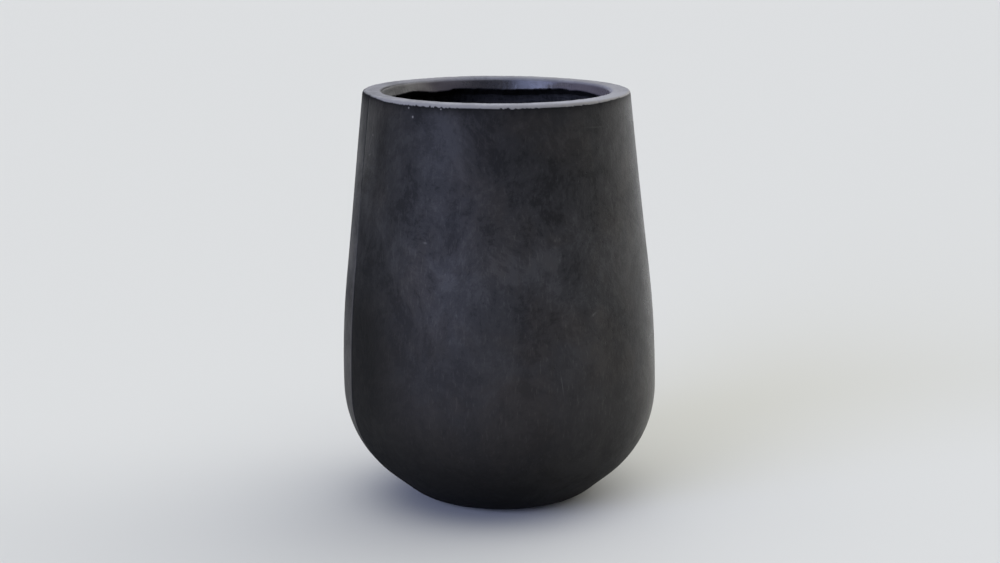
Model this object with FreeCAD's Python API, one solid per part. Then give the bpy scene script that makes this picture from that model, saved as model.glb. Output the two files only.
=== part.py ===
import FreeCAD, Part
import math
import os

from FreeCAD import Vector

# Fibre-clay floor planter, in millimetres, +Z up, standing on z = 0 about the Z axis.
# The pot is laid up by hand in a mould of two halves, so it is two half shells that meet on
# a seam in the XZ plane.  Straps of fibre mat bridge the seam inside, a disc backs the floor
# over it, and a thick collar with a hand-trowelled lower edge makes the inside of the lip.
# A rubber plug lifts out of the drain hole, and rubber pads stand under the foot.

# Outside: straight lines from rim to shoulder, down to the belly, in to the foot and across the
# floor.  Round arcs ease the corners; each setback is a corner's distance from where its arc starts
height = 600.0
rim_radius = 193.0
belly_radius = 231.0
belly_height = 166.0
foot_radius = 101.0
shoulder_setback = 82.0
belly_setback = 76.0
foot_setback = 23.0
wall = 10.0
rim_bevel = 2.5

# Lip and collar; each trowel wave is its count round the mouth, its size and its phase
lip_width = 27.5
lip_depth = 21.0
lip_bevel = 4.0
collar_haunch = 10.0
trowel_waves = ((2, 0.9, 0.4), (5, 1.4, 1.9), (8, 1.1, 4.1))
trowel_points = 48
trowel_overrun = 4.0

# Seam straps and floor disc
bond_gap = 0.3
strap_width = 64.0
strap_thickness = 4.0
strap_end_gap = 6.0
floor_disc_thickness = 8.0
floor_disc_margin = 12.0
floor_disc_bevel = 3.0

# Underside and pads
foot_ring_width = 36.0
recess_depth = 4.0
pad_count = 4
pad_radius = 12.0
pad_thickness = 2.0
pad_bevel = 0.5
first_pad_angle = 45.0

# Drain hole and plug
drain_radius = 12.5
plug_clearance = 0.3
plug_taper = 1.4
plug_inset = 1.5
plug_flange_lap = 7.5
plug_flange_thickness = 4.0
plug_neck_radius = 5.0
plug_neck_height = 4.0
plug_grip_radius = 8.0
plug_grip_height = 8.0
plug_bevel = 1.5

axis_point = Vector(0, 0, 0)
axis_up = Vector(0, 0, 1)

# Heights and radii that follow from the sizes above
foot_z = pad_thickness
recess_roof_z = foot_z + recess_depth
recess_radius = foot_radius - foot_ring_width
floor_z = foot_z + wall
floor_top_z = floor_z + floor_disc_thickness
floor_disc_radius = foot_radius - floor_disc_margin
lip_inner_radius = rim_radius - lip_width
trowel_reach = sum(size for count, size, phase in trowel_waves)
collar_low_z = height - lip_depth - collar_haunch - trowel_reach

# Tilt of the upper wall and of the flare from vertical, and the arcs that ease the corners
taper = math.atan2(belly_radius - rim_radius, height - belly_height - shoulder_setback)
flare = math.atan2(belly_radius - foot_radius - foot_setback, belly_height - belly_setback - foot_z)
shoulder_arc = shoulder_setback / math.tan(taper / 2)
belly_arc = belly_setback / math.tan(flare / 2)
foot_arc = foot_setback / math.tan((math.pi / 2 - flare) / 2)

# Centres of the three arcs, as (radius, height)
shoulder_centre = (belly_radius - shoulder_arc, belly_height)
belly_centre = (belly_radius - belly_arc, belly_height)
foot_centre = (foot_radius, foot_z + foot_arc)


def point(radius, z):
    """A point of a section, in the XZ plane."""
    return Vector(radius, 0, z)


def on_arc(centre, radius, angle):
    """The point of an arc whose normal stands at an angle above horizontal."""
    return point(centre[0] + radius * math.cos(angle), centre[1] + radius * math.sin(angle))


def arc(centre, radius, start, end):
    """The edge of an arc between two angles of its normal."""
    middle = (start + end) / 2
    ends = [on_arc(centre, radius, angle) for angle in (start, middle, end)]
    return Part.Arc(*ends).toShape()


def line(start, end):
    """A straight edge."""
    return Part.LineSegment(start, end).toShape()


def polyline(*points):
    """Straight edges through points."""
    return [line(start, end) for start, end in zip(points, points[1:])]


def wall_radius(depth, z):
    """Radius, on the straight taper, of the face that lies at a depth inside the outer one."""
    return rim_radius - depth / math.cos(taper) + (height - z) * math.tan(taper)


def wall_path(depth, top_z):
    """Edges up the face that lies at a depth inside the outer one, from the foot's flat to a height."""
    foot_r = foot_arc - depth
    belly_r = belly_arc - depth
    shoulder_r = shoulder_arc - depth
    return [
        arc(foot_centre, foot_r, -math.pi / 2, -flare),
        line(on_arc(foot_centre, foot_r, -flare), on_arc(belly_centre, belly_r, -flare)),
        arc(belly_centre, belly_r, -flare, 0.0),
        arc(shoulder_centre, shoulder_r, 0.0, taper),
        line(on_arc(shoulder_centre, shoulder_r, taper), point(wall_radius(depth, top_z), top_z)),
    ]


def spun(edges, angle=360.0):
    """The solid that a closed section makes when it turns about the Z axis."""
    section = Part.Face(Part.Wire(Part.__sortEdges__(edges)))
    return section.revolve(axis_point, axis_up, angle)


def half_shell(turn):
    """Half of the moulded pot, turned from +X: wall, half foot with its recess, half drain hole."""
    bevel_z = height - rim_bevel
    edges = polyline(
        point(foot_radius, floor_z),
        point(drain_radius, floor_z),
        point(drain_radius, recess_roof_z),
        point(recess_radius, recess_roof_z),
        point(recess_radius + recess_depth, foot_z),
        point(foot_radius, foot_z),
    )
    edges += wall_path(0.0, bevel_z)
    edges += polyline(
        point(wall_radius(0.0, bevel_z), bevel_z),
        point(rim_radius - rim_bevel, height),
        point(wall_radius(wall, height), height),
    )
    edges += wall_path(wall, height)
    return spun(edges, turn)


def trowel_wave(angle):
    """Height that the trowel left on the collar's lower edge at an angle round the mouth."""
    return sum(size * math.sin(count * angle + phase) for count, size, phase in trowel_waves)


def trowel_ring(radius, level):
    """Closed wavy curve round the Z axis at a radius."""
    points = []
    for step in range(trowel_points):
        angle = 2 * math.pi * step / trowel_points
        z = level + trowel_wave(angle)
        points.append(Vector(radius * math.cos(angle), radius * math.sin(angle), z))
    curve = Part.BSplineCurve()
    curve.interpolate(Points=points, PeriodicFlag=True)
    return curve.toShape()


def rim_collar():
    """Collar bonded inside the mouth: it widens the lip, and its haunch runs down to the wall."""
    back = wall + bond_gap
    low_z = collar_low_z - trowel_overrun
    ring = spun(
        polyline(
            point(lip_inner_radius, low_z),
            point(lip_inner_radius, height - lip_bevel),
            point(lip_inner_radius + lip_bevel, height),
            point(wall_radius(back, height), height),
            point(wall_radius(back, low_z), low_z),
            point(lip_inner_radius, low_z),
        )
    )
    # The trowelled underside falls from the lip to the wall, and the cut keeps its slope past both
    lip_z = height - lip_depth
    wall_r = wall_radius(back, low_z)
    slope = collar_haunch / (wall_r - lip_inner_radius)
    inner = trowel_ring(lip_inner_radius - trowel_overrun, lip_z + slope * trowel_overrun)
    outer = trowel_ring(wall_r + trowel_overrun, lip_z - collar_haunch - slope * trowel_overrun)
    underside = Part.makeRuledSurface(inner, outer)
    return ring.cut(underside.extrude(axis_up * (low_z - height)))


def seam_strap(side):
    """Strap of fibre mat bonded over the seam inside, on the +X side (1) or the -X side (-1)."""
    front = wall + bond_gap
    back = front + strap_thickness
    low_z = floor_top_z + strap_end_gap
    high_z = collar_low_z - strap_end_gap
    ends = [
        line(point(foot_radius, foot_z + front), point(foot_radius, foot_z + back)),
        line(point(wall_radius(front, height), height), point(wall_radius(back, height), height)),
    ]
    skin = spun(wall_path(front, height) + wall_path(back, height) + ends)
    cutter = Part.makeBox(
        belly_radius, strap_width, high_z - low_z, Vector(0, -strap_width / 2, low_z)
    )
    if side < 0:
        cutter.translate(Vector(-belly_radius, 0, 0))
    return skin.common(cutter)


def floor_disc():
    """Disc laid over the seam in the floor, with the drain hole and a bevelled edge."""
    return spun(
        polyline(
            point(drain_radius, floor_z),
            point(floor_disc_radius, floor_z),
            point(floor_disc_radius, floor_top_z - floor_disc_bevel),
            point(floor_disc_radius - floor_disc_bevel, floor_top_z),
            point(drain_radius, floor_top_z),
            point(drain_radius, floor_z),
        )
    )


def drain_plug():
    """Rubber plug: a tapered stem in the drain hole, a flange on the floor and a grip on a neck."""
    stem_radius = drain_radius - plug_clearance
    stem_low_z = recess_roof_z - plug_inset
    flange_radius = drain_radius + plug_flange_lap
    flange_z = floor_top_z + plug_flange_thickness
    grip_z = flange_z + plug_neck_height
    top_z = grip_z + plug_grip_height
    return spun(
        polyline(
            point(0, stem_low_z),
            point(stem_radius - plug_taper, stem_low_z),
            point(stem_radius, floor_top_z),
            point(flange_radius, floor_top_z),
            point(flange_radius, flange_z - plug_bevel),
            point(flange_radius - plug_bevel, flange_z),
            point(plug_neck_radius, flange_z),
            point(plug_neck_radius, grip_z),
            point(plug_grip_radius, grip_z + plug_bevel),
            point(plug_grip_radius, top_z - plug_bevel),
            point(plug_grip_radius - plug_bevel, top_z),
            point(0, top_z),
            point(0, stem_low_z),
        )
    )


def foot_pads():
    """Rubber pads under the middle of the foot's flat ring, each with a bevelled lower edge."""
    ring_middle = (recess_radius + recess_depth + foot_radius) / 2
    pads = []
    for number in range(pad_count):
        pad = spun(
            polyline(
                point(0, 0),
                point(pad_radius - pad_bevel, 0),
                point(pad_radius, pad_bevel),
                point(pad_radius, pad_thickness),
                point(0, pad_thickness),
                point(0, 0),
            )
        )
        pad.translate(Vector(ring_middle, 0, 0))
        pad.rotate(axis_point, axis_up, first_pad_angle + number * 360.0 / pad_count)
        pads.append(pad)
    return Part.makeCompound(pads)


def main():
    """Builds every piece and writes one STEP file for each."""
    pieces = {
        "front_half_shell": half_shell(-180.0),
        "rear_half_shell": half_shell(180.0),
        "rim_collar": rim_collar(),
        "left_seam_strap": seam_strap(-1),
        "right_seam_strap": seam_strap(1),
        "floor_disc": floor_disc(),
        "drain_plug": drain_plug(),
        "foot_pads": foot_pads(),
    }
    os.makedirs("parts", exist_ok=True)
    for name, shape in pieces.items():
        shape.exportStep("parts/" + name + ".step")
        litres = shape.Volume / 1e6
        print(f"{name}: {len(shape.Solids)} solids, {litres:.4f} l, valid {shape.isValid()}")


main()
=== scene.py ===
"""Dresses the fibre-clay floor planter: hand-laid half shells, trowelled collar, mat, plug and pads.

Every length is in metres, in the frame of the solids: +Z up, the pot standing on z = 0 about the Z axis,
its mould seams on -X and +X.  A heading is an angle about +Z.
"""
import logging
import math
from dataclasses import dataclass, field
from enum import Enum
from typing import Any, ClassVar

import bpy
import numpy as np
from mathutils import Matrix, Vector


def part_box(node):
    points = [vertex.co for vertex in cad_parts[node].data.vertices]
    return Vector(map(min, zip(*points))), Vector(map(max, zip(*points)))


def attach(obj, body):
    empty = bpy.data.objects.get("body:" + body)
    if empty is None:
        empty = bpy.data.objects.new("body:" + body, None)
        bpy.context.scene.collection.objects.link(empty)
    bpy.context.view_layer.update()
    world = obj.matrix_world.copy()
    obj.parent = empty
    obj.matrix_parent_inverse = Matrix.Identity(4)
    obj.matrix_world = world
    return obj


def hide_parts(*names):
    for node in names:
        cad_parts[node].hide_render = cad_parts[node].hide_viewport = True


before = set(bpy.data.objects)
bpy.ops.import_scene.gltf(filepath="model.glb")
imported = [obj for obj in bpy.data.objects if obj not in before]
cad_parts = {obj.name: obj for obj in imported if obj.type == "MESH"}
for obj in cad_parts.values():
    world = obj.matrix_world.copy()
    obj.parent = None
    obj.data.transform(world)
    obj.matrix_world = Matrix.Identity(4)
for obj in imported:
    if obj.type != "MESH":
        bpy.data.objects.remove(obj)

Array = np.ndarray
Triple = tuple[float, float, float]
Colour = tuple[float, float, float, float]
Span = tuple[float, ...]
Bell = tuple[float, float]
Marks = tuple[tuple[float, float], ...]
Piece = bpy.types.Object
Material = bpy.types.Material
Socket = bpy.types.NodeSocket

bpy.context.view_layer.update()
TURN = 2 * math.pi
MILLIMETRE = 0.001
SHARP_ANGLE = math.radians(38)
log = logging.getLogger("planter")


class Body(Enum):
    """The bodies that a piece can ride on."""

    PLANTER = "planter"
    PLUG = "plug"


class Slot(Enum):
    """The record's material slots."""

    CLAY = "clay_shell"
    LAMINATE = "raw_laminate"
    PLUG_RUBBER = "plug_rubber"
    PAD_RUBBER = "pad_rubber"


class Half(Enum):
    """The two halves of the mould, each with the angle at which its turn about +Z starts."""

    FRONT = math.pi
    REAR = 0.0


class Side(Enum):
    """The two seams, each with its angle about +Z."""

    LEFT = math.pi
    RIGHT = 0.0


# Curves and unevenness


def ramp(value: Any, start: Any, end: Any) -> Array:
    """0 up to start and 1 past end, straight between them; start may be the larger."""
    return np.clip((value - start) / (end - start), 0.0, 1.0)


def hump(value: Array, middle: float, width: float) -> Array:
    """Bell of height 1: e to the power of minus the square of the distance from its middle, in widths."""
    return np.exp(-((value - middle) / width) ** 2)


def between(start: Any, end: Any, t: Any) -> Array:
    """Straight run: (1 - t) times the start plus t times the end."""
    return (1 - t) * start + t * end


def bent(start: Any, corner: Any, end: Any, t: Array) -> Array:
    """Curve from start to end that bends at a corner: the straight run between its two straight runs."""
    return between(between(start, corner, t), between(corner, end, t), t)


def shares(count: int, start: bool = False, end: bool = True) -> Array:
    """Even shares from 0 to 1 as a column of so many rows, with 0 and 1 themselves where asked."""
    every = np.linspace(0.0, 1.0, count + 2 - start - end)
    return every[0 if start else 1:None if end else -1, None]


def raised_cosine(angle: Array, heading: float, power: float) -> Array:
    """1 at a heading and 0 opposite: half of 1 plus the cosine of the angle between, to a power."""
    return (0.5 + 0.5 * np.cos(angle - heading)) ** power


def degrees_past(heading: float, angle: Array) -> Array:
    """Degrees from a heading round to each angle, between -180 and 180."""
    return np.degrees((angle - heading + math.pi) % TURN - math.pi)


def set_depths(marks: Marks, across: Array) -> Array:
    """Depths at so many degrees across, straight between marks of (degrees, millimetres)."""
    degrees, depths = np.array(marks).T
    return np.interp(across, degrees, depths * MILLIMETRE)


def all_round(line: Array, angle: Array) -> tuple[Array, Array]:
    """Radii and heights of a section line, the same at every angle."""
    radius, z = (np.repeat(part[:, None], angle.size, axis=1) for part in line.T)
    return radius, z


def directions(line: Array) -> Array:
    """Unit directions along a line of points."""
    step = np.gradient(line, axis=0)
    return step / np.hypot(*step.T)[:, None]


@dataclass(frozen=True)
class RoughLine:
    """Rough line round a ring, with a size that is its root mean square.

    It is the sum of cosines of every whole count from fewest to most, each with a fixed random phase and a
    share that falls as the count to the power of -fall.
    """

    size: float
    seed: int
    fewest: int
    most: int
    fall: float

    def at(self, angle: Array) -> Array:
        """Works out the line.

        Args:
            angle: Angles about +Z.

        Returns:
            Heights of the line, one for each angle.
        """
        counts = np.arange(self.fewest, self.most + 1)
        parts = counts.astype(float) ** -self.fall
        parts *= self.size / np.sqrt(0.5 * np.sum(parts ** 2))
        phases = np.random.default_rng(self.seed).uniform(0.0, TURN, counts.size)
        return np.cos(np.multiply.outer(angle, counts) + phases) @ parts


@dataclass(frozen=True)
class Unevenness:
    """Slow unevenness over a wall, with a size that is its root mean square.

    It is the sum of cosines of (whole count times angle + rise times height + phase), all drawn once from a
    fixed seed, so that it closes on itself round the pot.  The rise is the phase gained per metre of height.
    """

    size: float
    seed: int
    most_turns: int
    most_rise: float
    waves: int = 28

    def at(self, angle: Array, z: Array) -> Array:
        """Works out the unevenness.

        Args:
            angle: Angles about +Z.
            z: Heights, or radii on a level face.

        Returns:
            Unevenness, of the shape that the two make together.
        """
        rng = np.random.default_rng(self.seed)
        turns = rng.integers(1, self.most_turns + 1, self.waves)
        rise = rng.uniform(-self.most_rise, self.most_rise, self.waves)
        phase = rng.uniform(0.0, TURN, self.waves)
        total = np.zeros(np.broadcast(angle, z).shape)
        for count, gain, start in zip(turns, rise, phase):
            total += np.cos(count * angle + gain * z + start)
        return self.size * total / math.sqrt(self.waves / 2)


# Outline and hand work


@dataclass(frozen=True)
class PotOutline:
    """Section of the pot: straight lines from rim to belly to foot, eased by tangent arcs."""

    rim_radius: float = 0.193
    belly_height: float = 0.166
    foot_radius: float = 0.101
    shoulder_setback: float = 0.082
    belly_setback: float = 0.076
    foot_setback: float = 0.023
    wall: float = 0.010
    lip_width: float = 0.0275
    recess_depth: float = 0.004
    foot_ring_width: float = 0.036
    drain_radius: float = 0.0125
    fine_points: int = 400

    @property
    def height(self) -> float:
        """Height of the rim, from the solids."""
        return float(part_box("rear_half_shell")[1][2])

    @property
    def belly_radius(self) -> float:
        """Widest radius, from the solids."""
        return float(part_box("rear_half_shell")[1][0])

    @property
    def foot_z(self) -> float:
        """Height of the foot's flat above the floor, from the solids."""
        return float(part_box("rear_half_shell")[0][2])

    @property
    def taper(self) -> float:
        """Tilt of the upper wall from vertical."""
        rise = self.height - self.belly_height - self.shoulder_setback
        return math.atan2(self.belly_radius - self.rim_radius, rise)

    @property
    def flare(self) -> float:
        """Tilt of the lower wall from vertical."""
        run = self.belly_radius - self.foot_radius - self.foot_setback
        return math.atan2(run, self.belly_height - self.belly_setback - self.foot_z)

    @property
    def mouth_radius(self) -> float:
        """Radius of the lip's inner edge."""
        return self.rim_radius - self.lip_width

    @property
    def recess_radius(self) -> float:
        """Radius of the recess under the floor, at its roof."""
        return self.foot_radius - self.foot_ring_width

    def wall_radius(self, depth: float, z: Array | float) -> Array | float:
        """Radius, on the straight taper, of the face at a depth inside the outer one."""
        return self.rim_radius - depth / math.cos(self.taper) + (self.height - z) * math.tan(self.taper)

    def wall_path(self, depth: float, top_z: float, count: int) -> Array:
        """Evenly spaced points up one face of the wall.

        Each arc is its centre plus its radius, less the depth, times the cosine and sine of its normal's
        angle; straight runs join the arcs' ends; the whole is then divided evenly along its length.

        Args:
            depth: Distance of the face inside the outer one.
            top_z: Height at which the path ends, on the straight taper.
            count: Number of points.

        Returns:
            Array of (radius, height), from the foot's flat upwards.
        """
        foot_arc = self.foot_setback / math.tan((math.pi / 2 - self.flare) / 2)
        belly_arc = self.belly_setback / math.tan(self.flare / 2)
        shoulder_arc = self.shoulder_setback / math.tan(self.taper / 2)
        runs = (
            (self.foot_radius, self.foot_z + foot_arc, foot_arc, -math.pi / 2, -self.flare),
            (self.belly_radius - belly_arc, self.belly_height, belly_arc, -self.flare, 0.0),
            (self.belly_radius - shoulder_arc, self.belly_height, shoulder_arc, 0.0, self.taper),
        )
        arcs = []
        for centre_r, centre_z, size, start, end in runs:
            turn = np.linspace(start, end, self.fine_points)
            arcs.append(np.stack([centre_r + (size - depth) * np.cos(turn),
                                  centre_z + (size - depth) * np.sin(turn)], axis=1))
        top = np.array([[self.wall_radius(depth, top_z), top_z]])
        fine = np.concatenate([*arcs, top])
        run = np.concatenate([[0.0], np.cumsum(np.hypot(*np.diff(fine, axis=0).T))])
        at = np.linspace(0.0, run[-1], count)
        return np.stack([np.interp(at, run, part) for part in fine.T], axis=1)


@dataclass(frozen=True)
class HandWork:
    """What hand laying leaves on the pot: a lean, a slow swell, a worn arris, an uneven lip.

    The rub-and-light marks are degrees to the right of the front, and depths in millimetres: down to them
    the rim is pale from rubbing and painted with a highlight, and below them the wall takes painted shade.
    """

    outline: PotOutline
    lean: float = 0.0079
    lean_power: float = 0.75
    lean_heading: float = math.radians(158.0)
    front_heading: float = math.radians(248.0)
    swell: Unevenness = Unevenness(0.00018, 11, 7, 30.0)
    arris: float = 0.0064
    arris_least: float = 0.0040
    arris_power: float = 3.0
    arris_rough: RoughLine = RoughLine(0.0003, 3, 12, 90, 0.8)
    rub_and_light_marks: Marks = (
        (-180, 1.6), (-100, 0.5), (-71, 0.3), (-61, 1.5), (-53, 3.2), (-42, 4.1),
        (42, 4.1), (50, 3.0), (59, 2.1), (70, 1.8), (100, 1.8), (180, 1.6))
    rub_and_light_floor: float = 0.0002
    rub_and_light_fade: float = 0.0006
    rub_and_light_least: float = 0.565
    rub_and_light_heading: float = math.radians(255.0)
    rub_and_light_power: float = 2.5
    nick_share: float = 0.24
    nick_middle: float = 0.8
    nick_line: RoughLine = RoughLine(1.0, 71, 18, 240, 0.45)
    patch_middle: float = 0.5
    patch_most: float = 1.3
    patch_line: RoughLine = RoughLine(0.6, 73, 4, 14, 0.4)
    shade_fade: float = 0.0060
    chip_level: float = 0.0007
    chip_most: float = 0.0018
    chip_bite: float = 0.5
    chip_line: RoughLine = RoughLine(0.0007, 23, 25, 140, 0.45)
    lip_crown: float = 0.0003
    lip_wave: float = 0.00016
    lip_wave_most: float = 1.6
    lip_long: RoughLine = RoughLine(0.7, 5, 3, 40, 0.9)
    lip_short: Unevenness = Unevenness(0.3, 6, 90, 900.0)

    def place(self, radius: Array, angle: Array, z: Array) -> Array:
        """Puts section points into space: turned about Z, then shifted by the lean.

        The lean grows as the height to a power, along one heading.

        Args:
            radius: Radii.
            angle: Angles about +Z.
            z: Heights.

        Returns:
            Array of the inputs' shape with x, y and z added last.
        """
        shift = self.lean * np.clip(z / self.outline.height, 0.0, None) ** self.lean_power
        x = radius * np.cos(angle) + shift * math.cos(self.lean_heading)
        y = radius * np.sin(angle) + shift * math.sin(self.lean_heading)
        return np.stack(np.broadcast_arrays(x, y, z), axis=-1)

    def arris_at(self, angle: Array) -> Array:
        """Size of the worn round on the rim's outer arris: largest in front, and a little rough."""
        near = raised_cosine(angle, self.front_heading, self.arris_power)
        return between(self.arris_least, self.arris, near) + self.arris_rough.at(angle)

    def rub_and_light_line(self, angle: Array) -> Array:
        """Depth below the lip at which the pale edge, worn by rubbing and painted with a highlight, stops.

        It runs straight between the rub-and-light marks.  Nicks change it by a share of its depth, more in
        some patches than in others, and the chips bite into it.

        Args:
            angle: Angles about +Z.

        Returns:
            Depths.
        """
        depth = set_depths(self.rub_and_light_marks, degrees_past(self.front_heading, angle))
        nicks = self.nick_middle - np.abs(self.nick_line.at(angle))
        patches = np.clip(self.patch_middle + self.patch_line.at(angle), 0.0, self.patch_most)
        nicked = depth * (1 + self.nick_share * patches * nicks) - self.chip_bite * self.chips_at(angle)
        return np.clip(nicked, self.rub_and_light_floor, None)

    def rub_and_light_share(self, angle: Array) -> Array:
        """How pale the lip is, from rubbing and a painted highlight: most at one heading, least opposite,
        following how the light falls round the rim.
        """
        return between(self.rub_and_light_least, 1.0, raised_cosine(angle, self.rub_and_light_heading, self.rub_and_light_power))

    def chips_at(self, angle: Array) -> Array:
        """Depth of the chips along the rim's outer arris: what of a rough line rises past a level."""
        return np.clip(self.chip_line.at(angle) - self.chip_level, 0.0, self.chip_most)

    def lip_z(self, radius: Array, angle: Array) -> Array:
        """Height of the lip's top: flat, a little crowned, with slow hand-rubbed waves.

        Args:
            radius: Radii across the lip.
            angle: Angles about +Z.

        Returns:
            Heights, never above the rim of the solids.
        """
        half_width = self.outline.lip_width / 2
        across = (radius - self.outline.rim_radius + half_width) / half_width
        wave = self.lip_long.at(angle) + self.lip_short.at(angle, radius)
        wave = self.lip_wave_most + np.clip(wave, -self.lip_wave_most, self.lip_wave_most)
        return self.outline.height - self.lip_crown * across ** 2 - self.lip_wave * wave


# Meshes


def new_piece(name: str, points: Array, polygons: list[list[int]]) -> Piece:
    """Makes a mesh object at the origin, smooth but for its sharp corners, and links it to the scene.

    Args:
        name: Name of the object and its mesh.
        points: Array of x, y and z.
        polygons: Point numbers of each face.

    Returns:
        The new object.
    """
    mesh = bpy.data.meshes.new(name)
    mesh.from_pydata(points.tolist(), [], polygons)
    mesh.polygons.foreach_set("use_smooth", np.ones(len(polygons), bool))
    mesh.set_sharp_from_angle(angle=SHARP_ANGLE)
    made = bpy.data.objects.new(name, mesh)
    bpy.context.scene.collection.objects.link(made)
    return made


def grid_faces(rows: int, columns: int, wrap_rows: bool, wrap_columns: bool) -> Array:
    """Four-sided faces of a grid of points, row by row, closed on itself where asked.

    Args:
        rows: Number of rows.
        columns: Number of columns.
        wrap_rows: True if the last row joins the first.
        wrap_columns: True if the last column joins the first.

    Returns:
        Array of faces, four point numbers each.
    """
    row = np.arange(rows if wrap_rows else rows - 1)[:, None]
    column = np.arange(columns if wrap_columns else columns - 1)[None, :]
    next_row = (row + 1) % rows
    next_column = (column + 1) % columns
    corners = (row * columns + column, next_row * columns + column,
               next_row * columns + next_column, row * columns + next_column)
    return np.stack(np.broadcast_arrays(*corners), axis=-1).reshape(-1, 4)


def enclosed(points: Array, faces: Array) -> float:
    """Signed volume of a closed grid: a sixth of the sum of the triple products of its triangles."""
    a, b, c, d = (points[faces[:, corner]] for corner in range(4))
    return float(np.sum(a * np.cross(b, c)) + np.sum(a * np.cross(c, d))) / 6.0


@dataclass
class Surface:
    """A grid of points whose last row joins its first, with marks, a UV map and zones of finish.

    The last column joins the first where the surface goes all round; otherwise both ends are capped.
    """

    name: str
    points: Array
    whole_turn: bool = True
    marks: dict[str, Array] = field(default_factory=dict)
    uv: Array | None = None
    zones: Array | None = None

    def build(self) -> Piece:
        """Makes the mesh: grid faces, end caps, zones, attributes and UV.

        Returns:
            The new object, with its faces pointing outwards.
        """
        rows, columns = self.points.shape[:2]
        flat = self.points.reshape(-1, 3)
        faces = grid_faces(rows, columns, True, self.whole_turn)
        zones = np.zeros(rows, int) if self.zones is None else self.zones
        zones = np.repeat(zones, len(faces) // rows)
        inside_out = enclosed(flat, faces) < 0
        if inside_out:
            faces = faces[:, ::-1]
        polygons = faces.tolist()
        if not self.whole_turn:
            first = np.arange(rows) * columns
            caps = np.stack([first, first[::-1] + columns - 1])
            polygons += (caps[:, ::-1] if inside_out else caps).tolist()
            zones = np.concatenate([zones, [0, 0]])
        made = new_piece(self.name, flat, polygons)
        mesh = made.data
        mesh.polygons.foreach_set("material_index", zones.astype(np.int32))
        for mark, values in self.marks.items():
            layer = mesh.attributes.new(mark, "FLOAT", "POINT")
            layer.data.foreach_set("value", np.ascontiguousarray(values.reshape(-1), np.float32))
        if self.uv is not None:
            corners = np.empty(len(mesh.loops), np.int32)
            mesh.loops.foreach_get("vertex_index", corners)
            layer = mesh.uv_layers.new(name="wrap")
            layer.data.foreach_set("uv", self.uv.reshape(-1, 2)[corners].astype(np.float32).reshape(-1))
        mesh.update()
        return made


def rounded(corners: list[Triple], steps: int = 6) -> Array:
    """Section line through corners, each eased by its own setback with a curve that bends at the corner.

    Args:
        corners: Radius, height and setback of each corner, in order; the ends have no setback.
        steps: Points on each eased corner.

    Returns:
        Array of (radius, height).
    """
    knots = np.array([corner[:2] for corner in corners])
    line = [knots[:1]]
    for number in range(1, len(corners) - 1):
        before, here, after = knots[number - 1:number + 2]
        ease = corners[number][2]
        if ease == 0.0:
            line.append(here[None, :])
            continue
        start = here + (before - here) * ease / np.hypot(*(before - here))
        end = here + (after - here) * ease / np.hypot(*(after - here))
        line.append(bent(start, here, end, shares(steps, start=True)))
    return np.concatenate([*line, knots[-1:]])


def turned(section: Array, angle: Array) -> Array:
    """A section carried round the Z axis: its radius times the cosine and sine of each angle, its height."""
    radius, z = all_round(section, angle)
    return np.stack([radius * np.cos(angle), radius * np.sin(angle), z], axis=-1)


def even_angles(count: int) -> Array:
    """So many even angles round a whole turn."""
    return np.linspace(0.0, TURN, count, endpoint=False)


def capped_turn(name: str, section: Array, columns: int, centres: Array) -> Piece:
    """Turned solids whose section starts and ends on the axis, one at each centre, in one mesh.

    The rows between are rings; a fan of triangles joins the first and last ring to a single pole.

    Args:
        name: Name of the object.
        section: Line of (radius, height) from the lower pole to the upper one.
        columns: Points round each ring.
        centres: Centres as an array of (x, y).

    Returns:
        The new object.
    """
    rings = turned(section[1:-1], even_angles(columns))
    body = rings.reshape(-1, 3)
    poles = np.array([[0.0, 0.0, section[0, 1]], [0.0, 0.0, section[-1, 1]]])
    one = np.concatenate([body, poles])
    quads = grid_faces(len(rings), columns, False, True)[:, ::-1]
    column = np.arange(columns)
    after = (column + 1) % columns
    start = (len(rings) - 1) * columns
    low_fan = np.stack([after, column, np.full(columns, len(body))], axis=1)
    high_fan = np.stack([start + column, start + after, np.full(columns, len(body) + 1)], axis=1)
    points = np.concatenate([one + np.array([*centre, 0.0]) for centre in centres])
    polygons: list[list[int]] = []
    for number in range(len(centres)):
        for faces in (quads, low_fan, high_fan):
            polygons += (faces + number * len(one)).tolist()
    return new_piece(name, points, polygons)


# Finishes


@dataclass(frozen=True)
class Cloud:
    """Settings of a cloudy noise, and how its coordinates are stretched and shifted."""

    scale: float
    detail: float
    roughness: float
    distortion: float = 0.0
    stretch: Triple = (1.0, 1.0, 1.0)
    shift: Triple = (0.0, 0.0, 0.0)


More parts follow.
